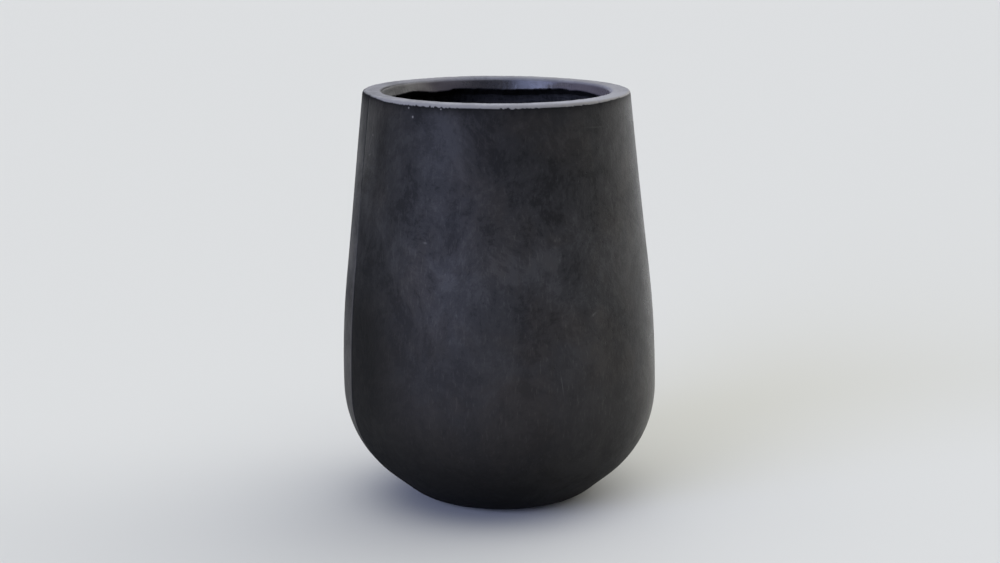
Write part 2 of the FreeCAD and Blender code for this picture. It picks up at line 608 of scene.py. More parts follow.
class Graph:
    """Adds shader nodes to one material's or world's tree and links them."""

    def __init__(self, tree: bpy.types.NodeTree) -> None:
        """Starts from an empty tree."""
        self.tree = tree
        tree.nodes.clear()

    def node(self, kind: str, inputs: dict[str | int, Any] | None = None, **options: Any) -> bpy.types.Node:
        """Adds a node.

        Args:
            kind: Blender's name of the node type.
            inputs: Values or sockets for its inputs.
            options: Settings of the node.

        Returns:
            The node.
        """
        made = self.tree.nodes.new(kind)
        for option, value in options.items():
            setattr(made, option, value)
        for name, value in (inputs or {}).items():
            if isinstance(value, Socket):
                self.tree.links.new(value, made.inputs[name])
            else:
                made.inputs[name].default_value = value
        return made

    def math(self, operation: str, *values: Any, clamp: bool = False) -> Socket:
        """A sum, product or other operation on one to three values."""
        made = self.node("ShaderNodeMath", dict(enumerate(values)), operation=operation, use_clamp=clamp)
        return made.outputs[0]

    def times(self, first: Any, second: Any) -> Socket:
        """The product of two values."""
        return self.math("MULTIPLY", first, second)

    def plus(self, base: Any, value: Any, share: Any, clamp: bool = False) -> Socket:
        """A base plus a share of a value, kept from 0 to 1 where asked."""
        return self.math("MULTIPLY_ADD", value, share, base, clamp=clamp)

    def vector(self, operation: str, inputs: dict[str | int, Any]) -> Socket:
        """The vector that an operation on vectors gives."""
        return self.node("ShaderNodeVectorMath", inputs, operation=operation).outputs[0]

    def part(self, vector: Any, axis: int) -> Socket:
        """One coordinate of a vector: 0, 1 or 2 for x, y or z."""
        return self.node("ShaderNodeSeparateXYZ", {0: vector}).outputs[axis]

    def span(self, value: Any, low: float, high: float, to_low: float = 0.0, to_high: float = 1.0,
             smooth: bool = True) -> Socket:
        """Maps low..high to to_low..to_high, clamped, with eased ends where asked."""
        made = self.node("ShaderNodeMapRange", {0: value, 1: low, 2: high, 3: to_low, 4: to_high},
                         interpolation_type="SMOOTHSTEP" if smooth else "LINEAR")
        return made.outputs[0]

    def mix(self, share: Any, first: Any, second: Any, blend: str = "MIX") -> Socket:
        """Blends two colours, plainly or by another of the blend modes."""
        inputs = {0: share, 6: first, 7: second}
        return self.node("ShaderNodeMix", inputs, data_type="RGBA", blend_type=blend).outputs[2]

    def coats(self, colour: Any, *coats: tuple[Any, Any]) -> Any:
        """A colour under coats of (share, colour), each over those before it."""
        for share, coat in coats:
            colour = self.mix(share, colour, coat)
        return colour

    def cloud(self, spot: Any, kind: Cloud) -> Socket:
        """Cloudy noise, about 0.5, on stretched and shifted coordinates.

        Args:
            spot: Coordinates.
            kind: Settings of the noise.

        Returns:
            The noise.
        """
        there = self.node("ShaderNodeMapping", {0: spot, "Scale": kind.stretch, "Location": kind.shift})
        return self.node("ShaderNodeTexNoise", {
            "Vector": there.outputs[0], "Scale": kind.scale, "Detail": kind.detail,
            "Roughness": kind.roughness, "Distortion": kind.distortion}).outputs[0]

    def bump(self, height: Any, distance: float, normal: Any = None) -> Socket:
        """Normal, or another bump's normal, disturbed by a height of 0 to 1 times a distance in metres."""
        under = {} if normal is None else {"Normal": normal}
        inputs = {"Height": height, "Distance": distance, "Strength": 1.0, **under}
        return self.node("ShaderNodeBump", inputs).outputs[0]

    def surface(self, kind: str, inputs: dict[str | int, Any]) -> None:
        """Ends a material's tree in one shader."""
        shader = self.node(kind, inputs)
        self.node("ShaderNodeOutputMaterial", {"Surface": shader.outputs[0]})


def blank(name: str) -> tuple[Material, Graph]:
    """Makes a material with an empty tree, and the graph that fills it."""
    made = bpy.data.materials.new(name)
    made.use_nodes = True
    return made, Graph(made.node_tree)


@dataclass(frozen=True)
class PaleMark:
    """A soft elongated pale mark on the outer wall, mostly scuff marks and one broad painted highlight:
    where it is, its half sizes, tilt and strength.

    The heading and the tilt are in degrees.
    """

    heading: float
    height: float
    half_length: float
    half_width: float
    tilt: float = 0.0
    strength: float = 1.0


@dataclass(frozen=True)
class ClayFinish:
    """Hand-rubbed charcoal clay: clouds, mottle at every scale, pits, pale scuff marks and one broad painted
    highlight, a lip pale from rubbing with a painted highlight, and painted shade at the top, beside the
    left seam, on the lee side and at the foot.

    A span gives the two ends of a mask, in turns round the pot, in metres of height or in levels of noise,
    and then, where they aren't 0 and 1, the mask's values there.
    """

    name: str = "rubbed_charcoal_clay"
    deep: Colour = (0.0150, 0.0147, 0.0151, 1.0)
    middle: Colour = (0.0300, 0.0295, 0.0297, 1.0)
    pale: Colour = (0.0460, 0.0452, 0.0450, 1.0)
    # Pale of the lip and arris: partly wear from rubbing, partly a painted highlight where the top catches
    # the light.
    rubbed_and_lit: Colour = (0.378, 0.382, 0.403, 1.0)
    worn: Colour = (0.236, 0.225, 0.200, 1.0)
    # Tint of the painted sheen: the paler sides of the collar and the thin highlight beside the rear seam.
    painted_sheen_tint: Colour = (0.215, 0.198, 0.194, 1.0)
    # Painted shade: near black laid over the top, beside the left seam, on the lee side, at the foot and
    # where the shade mark is.
    painted_shade: Colour = (0.0030, 0.0030, 0.0032, 1.0)
    scuff: Colour = (0.31, 0.30, 0.285, 1.0)
    earth: Colour = (1.09, 1.0, 0.90, 1.0)
    ior: float = 1.24
    roughness: float = 0.46
    lip_roughness: float = 0.86
    streakiness: float = 1.0
    fleck: float = 0.050
    relief: float = 0.0007
    # Shares of painted shade at the top, beside the left seam and on the lee side.
    top_shade: float = 0.42
    side_shade: float = 0.92
    lee_shade: float = 0.22
    drift: float = 0.26
    scuffs_and_sheen: tuple[PaleMark, ...] = ()

    clouds: Cloud = Cloud(6.5, 2.0, 0.5, 0.6)
    mottle: Cloud = Cloud(13.0, 6.0, 0.84, 0.3, (1.0, 1.0, 0.8))
    streaks: Cloud = Cloud(1.0, 3.0, 0.55, 0.0, (62.0, 62.0, 8.0))
    flecks: Cloud = Cloud(1.0, 2.0, 0.6, 0.0, (330.0, 330.0, 75.0))
    hue: Cloud = Cloud(10.0, 3.0, 0.6, 0.4, (1.0, 1.0, 0.8), (5.2, 0.3, 1.1))
    grain: Cloud = Cloud(420.0, 3.0, 0.7)

    mottle_share: float = 0.72
    cloud_share: float = 0.20
    streak_share: float = 0.08
    to_middle: Span = (0.42, 0.50)
    to_pale: Span = (0.50, 0.585)
    low_calm: Span = (0.42, 0.16, 0.0, 0.62)
    fleck_span: Span = (0.56, 0.74)
    warm_hue: Span = (0.42, 0.64, 0.0, 0.7)
    warm_low: Span = (0.34, 0.12, 0.0, 0.6)

    front_half: Span = (0.4998, 0.5002)
    by_left_seam: Span = (0.610, 0.525)
    past_right_seam: Span = (0.16, 0.0)
    sleek_side: Span = (0.80, 0.89)
    bright_side: Span = (0.68, 0.82)
    lee_ahead: Span = (0.70, 0.60)
    lee_behind: Span = (0.30, 0.42)
    top_span: Span = (0.36, 0.60)
    side_span: Span = (0.60, 0.22)
    lee_span: Span = (0.36, 0.24)
    # Painted shade at the foot, less of it on the bright right side.
    foot_painted_shade: Span = (0.23, 0.03)
    bright_painted_shade: float = 0.78

    rub_and_light_uneven: Span = (0.40, 0.58, 0.74, 1.0)
    pit_scale: float = 85.0
    pit_pick: float = 0.80
    pit_span: Span = (0.10, 0.05)
    pit_dark: float = 0.7

    rough_span: Span = (0.40, 0.60)
    rough_change: float = 0.045
    foot_dry: Span = (0.15, 0.03, 0.0, 0.38)
    shade_dry: float = 0.4
    sleekness: float = 0.6
    dry_ahead: Span = (0.575, 0.505)
    dry_ahead_below: Span = (0.40, 0.54, 1.0, -0.5)
    dry_behind: Span = (0.36, 0.46)
    dry_behind_above: Span = (0.19, 0.32, 0.0, 0.45)
    dry_behind_below: Span = (0.52, 0.42)

    streak_relief: float = 0.25
    grain_relief: float = 0.00022
    pit_relief: float = 0.0007

    def material(self) -> Material:
        """Builds the finish on Object coordinates, the wall's own UV and the marks of the pieces.

        Returns:
            The material.
        """
        made, graph = blank(self.name)
        where = graph.node("ShaderNodeTexCoord")
        spot = where.outputs["Object"]
        wrap = where.outputs["UV"]
        height = graph.part(spot, 2)
        turns = graph.part(wrap, 0)
        front = graph.span(turns, *self.front_half, smooth=False)
        mottle = graph.cloud(spot, self.mottle)
        streaks = graph.cloud(spot, self.streaks)
        pits = self.pits(graph, spot)
        marks = {mark: graph.node("ShaderNodeAttribute", attribute_name=mark).outputs["Fac"]
                 for mark in ("rubbed_and_lit", "worn", "shade", "painted_sheen")}
        colour = self.tone(graph, spot, mottle, streaks)
        colour = self.with_painted_shade(graph, colour, turns, height, front)
        uneven = graph.span(mottle, *self.rub_and_light_uneven)
        # Coats: painted sheen, painted shade, the pale lip with its painted highlight, wear and pits.
        colour = graph.coats(
            colour, (marks["painted_sheen"], self.painted_sheen_tint), (marks["shade"], self.painted_shade),
            (graph.times(marks["rubbed_and_lit"], uneven), self.rubbed_and_lit),
            (graph.times(marks["worn"], uneven), self.worn),
            (graph.times(pits, self.pit_dark), self.deep))
        # Pale scuff marks, and one broad painted highlight low on the right.
        if self.scuffs_and_sheen:
            colour = graph.mix(self.scuff_and_sheen_mask(graph, wrap), colour, self.scuff)
        rough = graph.span(mottle, *self.rough_span, self.roughness + self.rough_change,
                           self.roughness - self.rough_change)
        rough = graph.math("ADD", rough, graph.span(height, *self.foot_dry))
        rough = graph.plus(rough, self.dryness(graph, turns, height, front), self.drift)
        sleek = self.from_right(graph, turns, self.sleek_side)
        rough = graph.plus(rough, sleek, -self.sleekness * self.drift)
        rough = graph.plus(rough, marks["rubbed_and_lit"], graph.math("SUBTRACT", self.lip_roughness, rough))
        rough = graph.plus(rough, marks["shade"], self.shade_dry, clamp=True)
        relief = graph.plus(mottle, streaks, self.streak_relief * self.streakiness)
        normal = graph.bump(relief, self.relief)
        normal = graph.bump(graph.cloud(spot, self.grain), self.grain_relief, normal)
        normal = graph.bump(graph.math("SUBTRACT", 1.0, pits), self.pit_relief, normal)
        graph.surface("ShaderNodeBsdfPrincipled", {"Base Color": colour, "Roughness": rough,
                                                   "Normal": normal, "IOR": self.ior})
        return made

    def pits(self, graph: Graph, spot: Socket) -> Socket:
        """Small round pits in the middles of some of the cells round scattered points.

        Args:
            graph: The material's graph.
            spot: Object coordinates.

        Returns:
            The mask: 1 in a pit, 0 elsewhere.
        """
        cells = graph.node("ShaderNodeTexVoronoi", {"Vector": spot, "Scale": self.pit_scale})
        draw = graph.node("ShaderNodeSeparateColor", {0: cells.outputs["Color"]}).outputs[0]
        chosen = graph.math("GREATER_THAN", draw, self.pit_pick)
        return graph.times(graph.span(cells.outputs["Distance"], *self.pit_span), chosen)

    def from_right(self, graph: Graph, turns: Socket, side: Span) -> Socket:
        """Mask of the right-hand side, from a span ahead of its seam to the fade past it."""
        return graph.math("MAXIMUM", graph.span(turns, *side), graph.span(turns, *self.past_right_seam))

    def tone(self, graph: Graph, spot: Socket, mottle: Socket, streaks: Socket) -> Socket:
        """Colour of the bare clay: mottled, calmer low down, flecked upright, and warm in places.

        Args:
            graph: The material's graph.
            spot: Object coordinates.
            mottle: Mottle at every scale.
            streaks: Upright streaks.

        Returns:
            The colour.
        """
        height = graph.part(spot, 2)
        tone = graph.times(mottle, self.mottle_share)
        tone = graph.plus(tone, graph.cloud(spot, self.clouds), self.cloud_share)
        tone = graph.plus(tone, streaks, self.streak_share)
        flecks = graph.span(graph.cloud(spot, self.flecks), *self.fleck_span)
        colour = graph.coats(
            self.deep, (graph.span(tone, *self.to_middle), self.middle),
            (graph.span(tone, *self.to_pale), self.pale), (graph.span(height, *self.low_calm), self.middle),
            (graph.times(flecks, self.fleck), self.scuff))
        hue = graph.span(graph.cloud(spot, self.hue), *self.warm_hue)
        warmth = graph.math("ADD", hue, graph.span(height, *self.warm_low), clamp=True)
        return graph.mix(warmth, colour, self.earth, "MULTIPLY")

    def with_painted_shade(self, graph: Graph, colour: Socket, turns: Socket, height: Socket, front: Socket) -> Socket:
        """Colour darkened by painted shade: at the top, beside the left seam, on the lee side and at the
        foot, a little less at the foot on the bright right side.

        Args:
            graph: The material's graph.
            colour: Colour of the bare clay.
            turns: Heading round the pot, in turns.
            height: Height above the floor.
            front: 1 on the front half, 0 on the rear half.

        Returns:
            The darkened colour.
        """
        beside = graph.times(graph.span(turns, *self.by_left_seam), front)
        lee = graph.times(graph.span(turns, *self.lee_ahead), graph.span(turns, *self.lee_behind))
        top = graph.span(height, *self.top_span, 0.0, self.top_shade)
        side = graph.times(beside, graph.span(height, *self.side_span, 0.0, self.side_shade))
        darker = graph.math("ADD", top, side, clamp=True)
        low = graph.span(height, *self.lee_span, 0.0, self.lee_shade)
        darker = graph.plus(darker, lee, low, clamp=True)
        bright = self.from_right(graph, turns, self.bright_side)
        less = graph.span(bright, 0.0, 1.0, 1.0, self.bright_painted_shade, smooth=False)
        foot = graph.times(graph.span(height, *self.foot_painted_shade), less)
        return graph.coats(colour, (darker, self.painted_shade), (foot, self.painted_shade))

    def dryness(self, graph: Graph, turns: Socket, height: Socket, front: Socket) -> Socket:
        """How dry the wall is beside the left seam: in front below its top, behind at middle height.

        Args:
            graph: The material's graph.
            turns: Heading round the pot, in turns.
            height: Height above the floor.
            front: 1 on the front half, 0 on the rear half.

        Returns:
            The dryness, below 0 where the wall is sleeker than elsewhere.
        """
        ahead = graph.times(graph.span(turns, *self.dry_ahead), graph.span(height, *self.dry_ahead_below))
        middle = graph.times(graph.span(height, *self.dry_behind_above),
                             graph.span(height, *self.dry_behind_below))
        behind = graph.times(graph.span(turns, *self.dry_behind), middle)
        return graph.plus(behind, front, graph.math("SUBTRACT", ahead, behind))

    def scuff_and_sheen_mask(self, graph: Graph, wrap: Socket) -> Socket:
        """Sum of the scuff marks and the painted highlight: each is 1 less the distance from its middle, in
        its own half sizes, squared.

        Args:
            graph: The material's graph.
            wrap: The wall's UV, in turns and parts of the height.

        Returns:
            The mask, from 0 to 1.
        """
        outline = PotOutline()
        girth = TURN * outline.belly_radius
        spread = graph.vector("MULTIPLY", {0: wrap, 1: (girth, outline.height, 0.0)})
        total: Any = 0.0
        for mark in self.scuffs_and_sheen:
            local = graph.node("ShaderNodeMapping", {
                "Vector": spread, "Location": (mark.heading / 360.0 * girth, mark.height, 0.0),
                "Rotation": (0.0, 0.0, math.radians(mark.tilt)),
                "Scale": (mark.half_width, mark.half_length, 1.0)}, vector_type="TEXTURE").outputs[0]
            soft = graph.node("ShaderNodeTexGradient", {0: local}, gradient_type="QUADRATIC_SPHERE")
            total = graph.plus(total, soft.outputs["Fac"], mark.strength, clamp=True)
        return total


@dataclass(frozen=True)
class LaminateFinish:
    """Raw black fibre laminate: random mat fibres, resin-rich hollows, dull all over."""

    name: str = "raw_black_laminate"
    deep: Colour = (0.014, 0.0138, 0.0140, 1.0)
    pale: Colour = (0.056, 0.0545, 0.0530, 1.0)
    ior: float = 1.25
    blots: Cloud = Cloud(24.0, 5.0, 0.6, 0.8)
    lying: Cloud = Cloud(1.0, 3.0, 0.6, 1.6, (40.0, 40.0, 420.0))
    standing: Cloud = Cloud(1.0, 3.0, 0.6, 1.6, (380.0, 380.0, 46.0))
    blot_share: float = 0.5
    to_pale: Span = (0.42, 0.66)
    rough_span: Span = (0.3, 0.7, 0.78, 0.95)
    fibre_relief: float = 0.0009
    blot_relief: float = 0.0025

    def material(self) -> Material:
        """Builds the finish on Object coordinates: two crossed sets of stretched noise over slow blots.

        Returns:
            The material.
        """
        made, graph = blank(self.name)
        spot = graph.node("ShaderNodeTexCoord").outputs["Object"]
        blots = graph.cloud(spot, self.blots)
        fibres = graph.math("MAXIMUM", graph.cloud(spot, self.lying), graph.cloud(spot, self.standing))
        tone = graph.plus(graph.times(blots, self.blot_share), fibres, 1.0 - self.blot_share)
        normal = graph.bump(blots, self.blot_relief, graph.bump(fibres, self.fibre_relief))
        graph.surface("ShaderNodeBsdfPrincipled", {
            "Base Color": graph.mix(graph.span(tone, *self.to_pale), self.deep, self.pale),
            "Roughness": graph.span(blots, *self.rough_span), "Normal": normal, "IOR": self.ior})
        return made


@dataclass(frozen=True)
class RubberFinish:
    """Moulded rubber: fine matt grain, faint dusty bloom."""

    name: str
    base: Colour
    bloom: Colour
    roughness: float = 0.62
    bloom_cloud: Cloud = Cloud(90.0, 4.0, 0.6, 0.5)
    bloom_span: Span = (0.42, 0.7, 0.0, 0.8)
    rough_span: Span = (0.3, 0.7)
    rough_less: float = 0.08
    rough_more: float = 0.12
    grain: Cloud = Cloud(1900.0, 2.0, 0.5)
    grain_relief: float = 0.00012

    def material(self) -> Material:
        """Builds the finish on Object coordinates: slow bloom over fine moulded grain.

        Returns:
            The material.
        """
        made, graph = blank(self.name)
        spot = graph.node("ShaderNodeTexCoord").outputs["Object"]
        bloom = graph.cloud(spot, self.bloom_cloud)
        graph.surface("ShaderNodeBsdfPrincipled", {
            "Base Color": graph.mix(graph.span(bloom, *self.bloom_span), self.base, self.bloom),
            "Roughness": graph.span(bloom, *self.rough_span, self.roughness - self.rough_less,
                                    self.roughness + self.rough_more),
            "Normal": graph.bump(graph.cloud(spot, self.grain), self.grain_relief)})
        return made


# Sub-assemblies


@dataclass
class SubAssembly:
    """One piece of the pot, with the node that it stands for, its body and the slot of its main finish."""

    hand: HandWork
    node: ClassVar[str]
    body: ClassVar[Body] = Body.PLANTER
    slot: ClassVar[Slot] = Slot.CLAY

    @property
    def outline(self) -> PotOutline:
        """The pot's section."""
        return self.hand.outline

    def build(self) -> Piece:
        """Builds the piece's mesh."""
        raise NotImplementedError

    def dress(self, piece: Piece, *finishes: Material) -> None:
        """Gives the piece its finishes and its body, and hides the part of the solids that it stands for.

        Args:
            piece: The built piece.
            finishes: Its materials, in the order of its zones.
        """
        for finish in finishes:
            piece.data.materials.append(finish)
        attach(piece, self.body.value)
        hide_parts(self.node)


@dataclass
class HalfShell(SubAssembly):
    """One moulded half of the pot: outer skin, rim, raw inside, half floor, foot ring and recess."""

    half: Half
    columns: int = 520
    outer_rows: int = 86
    neck_rows: int = 4
    arris_rows: int = 15
    lip_rows: int = 7
    inner_rows: int = 44
    floor_rows: int = 5
    under_rows: int = 4
    crowding: float = 0.62
    neck: float = 0.0085
    swell_start: float = 0.05
    groove_depth: float = 0.0007
    groove_width: float = 0.0016
    groove_start: float = 0.03
    step: float = 0.0004
    step_width: float = 0.020
    chip_from: float = 0.12
    chip_to: float = 0.92
    chip_in: float = 0.30
    chip_down: float = 0.75
    lumps: Unevenness = Unevenness(0.0008, 41, 60, 260.0)
    lump_top: Span = (0.012, 0.032)
    lump_foot: Span = (0.015, 0.035)
    worn_span: Span = (1 / 30, 0.7)
    seam_line: float = 0.10
    seam_line_width: float = 0.003
    seam_crack: float = 0.9
    seam_crack_width: float = 0.0042
    seam_top: float = 0.46
    seam_fade: float = 0.14

    @property
    def node(self) -> str:
        """The half's node."""
        return self.half.name.lower() + "_half_shell"

    def angles(self) -> Array:
        """Angles round the half, closer together at the two seams.

        An even run from 0 to 1, less a share of the sine of its full turn, times half a turn.
        """
        even = np.linspace(0.0, 1.0, self.columns)
        eased = even - self.crowding * np.sin(TURN * even) / TURN
        return self.half.value + math.pi * eased

    def from_seam(self, angle: Array) -> Array:
        """Distance round the belly from the nearer seam."""
        return self.outline.belly_radius * np.minimum(angle - angle[0], angle[-1] - angle)

    def underside(self) -> Array:
        """Section line over the floor and through the drain hole and the recess to the foot ring.

        It runs straight from corner to corner, each in so many even steps.

        Returns:
            Array of (radius, height), without its first and last corners, which the walls have.
        """
        shape = self.outline
        floor_z = shape.foot_z + shape.wall
        roof_z = shape.foot_z + shape.recess_depth
        here = np.array([shape.foot_radius, floor_z])
        line = []
        for radius, z, rows in (
                (shape.drain_radius, floor_z, self.floor_rows), (shape.drain_radius, roof_z, 1),
                (shape.recess_radius, roof_z, self.under_rows),
                (shape.recess_radius + shape.recess_depth, shape.foot_z, 1),
                (shape.foot_radius, shape.foot_z, self.under_rows)):
            line.append(between(here, np.array([radius, z]), shares(rows)))
            here = line[-1][-1]
        return np.concatenate(line)[:-1]

    def section(self, angle: Array) -> tuple[Array, Array, Array]:
        """Closed section of the half at every angle.

        Rows run up the outer face, up a straight neck, round the worn arris (a curve from the wall to the
        lip that bends at their corner), over the lip, down the raw inside and along the underside.

        Args:
            angle: Angles of the columns.

        Returns:
            Radii and heights as arrays of rows by columns, and each row band's finish (0 clay, 1 raw).
        """
        shape = self.outline
        high = shape.height
        hand = self.hand
        outer = shape.wall_path(0.0, high - self.neck, self.outer_rows)
        outer_r, outer_z = all_round(outer, angle)
        along = directions(outer)
        reach = self.from_seam(angle)
        seam = -self.groove_depth * hump(reach, 0.0, self.groove_width)
        if self.half is Half.REAR:
            seam = seam - self.step * hump(reach, 0.0, self.step_width)
        push = hand.swell.at(angle, outer_z) * ramp(outer_z, 0.0, self.swell_start)
        push = push + seam * ramp(outer_z, 0.0, self.groove_start)
        outer_r = outer_r + push * along[:, 1:]
        outer_z = outer_z - push * along[:, :1]
        size = hand.arris_at(angle)
        low_r = shape.wall_radius(0.0, high - size) + push[-1]
        corner_r = shape.rim_radius + push[-1]
        corner_z = hand.lip_z(corner_r - size, angle)
        t = shares(self.arris_rows, start=True)
        chip = hand.chips_at(angle) * np.sin(math.pi * between(self.chip_from, self.chip_to, t))
        arris_r = bent(low_r, corner_r, corner_r - size, t) - self.chip_in * chip
        arris_z = bent(high - size, corner_z, corner_z, t) - self.chip_down * chip
        t = shares(self.neck_rows, end=False)
        neck_r = between(outer_r[-1], arris_r[0], t)
        neck_z = between(outer_z[-1], arris_z[0], t)
        t = shares(self.lip_rows)
        lip_r = between(arris_r[-1], shape.wall_radius(shape.wall, high), t)
        lip_z = hand.lip_z(lip_r, angle) + (1 - t) * (arris_z[-1] - hand.lip_z(arris_r[-1], angle))
        inner = shape.wall_path(shape.wall, high, self.inner_rows)[::-1][1:]
        inner_r, inner_z = all_round(inner, angle)
        lumps = np.abs(self.lumps.at(angle, inner_z))
        inner_r = inner_r - lumps * ramp(high - inner_z, *self.lump_top) * ramp(inner_z, *self.lump_foot)
        under_r, under_z = all_round(self.underside(), angle)
        radius = np.concatenate([outer_r, neck_r, arris_r, lip_r, inner_r, under_r])
        z = np.concatenate([outer_z, neck_z, arris_z, lip_z, inner_z, under_z])
        raw = self.outer_rows + self.neck_rows + self.arris_rows + self.lip_rows
        zones = np.zeros(len(radius), int)
        zones[raw - 1:raw + len(inner) + self.floor_rows] = 1
        return radius, z, zones

    def marks(self, angle: Array, z: Array) -> dict[str, Array]:
        """How far each point is made pale from rubbing with a painted highlight, worn, given painted shade
        and given painted sheen.

        The lip is pale from rubbing, with a painted highlight, down to its rub-and-light line, worn more the
        further it is below its crest, and given painted shade below that line by a power of e.  The seam is
        a thin painted highlight behind and a dark line of painted shade in its groove in front.

        Args:
            angle: Angles of the columns.
            z: Heights as an array of rows by columns.

        Returns:
            Arrays of rows by columns by the names of the marks.
        """
        hand = self.hand
        row = np.arange(len(z))[:, None]
        crest = self.outer_rows + self.neck_rows + self.arris_rows - 1
        past = z[crest] - z - hand.rub_and_light_line(angle)
        on_lip = (row >= crest) & (row <= crest + self.lip_rows + 1)
        # Pale from rubbing with a painted highlight over the lip and down to the line; painted shade below
        # it.
        rubbed_and_lit = np.where(on_lip, 1.0, ramp(past, hand.rub_and_light_fade, -hand.rub_and_light_fade)) * hand.rub_and_light_share(angle)
        worn = rubbed_and_lit * ramp((crest - row) / (self.arris_rows - 1), *self.worn_span)
        shade = np.where(past > 0.0, np.exp(-np.clip(past, 0.0, None) / hand.shade_fade), 0.0)
        low = ramp(z, self.seam_top, self.seam_top - self.seam_fade)
        reach = self.from_seam(angle)
        # Behind, a thin painted highlight beside the seam; in front, a dark line of painted shade in the
        # seam's groove.
        painted_sheen = np.zeros_like(z)
        if self.half is Half.REAR:
            painted_sheen = self.seam_line * low * hump(reach, self.seam_line_width, self.seam_line_width)
        else:
            shade = np.maximum(shade, self.seam_crack * low * hump(reach, 0.0, self.seam_crack_width))
        return {"rubbed_and_lit": rubbed_and_lit, "worn": worn, "shade": shade, "painted_sheen": painted_sheen}

    def build(self) -> Piece:
        """Builds the half.

        Returns:
            The piece, with its marks and a UV map of turns and parts of the height.
        """
        angle = self.angles()
        radius, z, zones = self.section(angle)
        turns = np.broadcast_to(angle / TURN, radius.shape)
        uv = np.stack([turns, z / self.outline.height], axis=-1)
        return Surface(self.half.name.lower() + "_shell", self.hand.place(radius, angle, z),
                       whole_turn=False, marks=self.marks(angle, z), uv=uv, zones=zones).build()


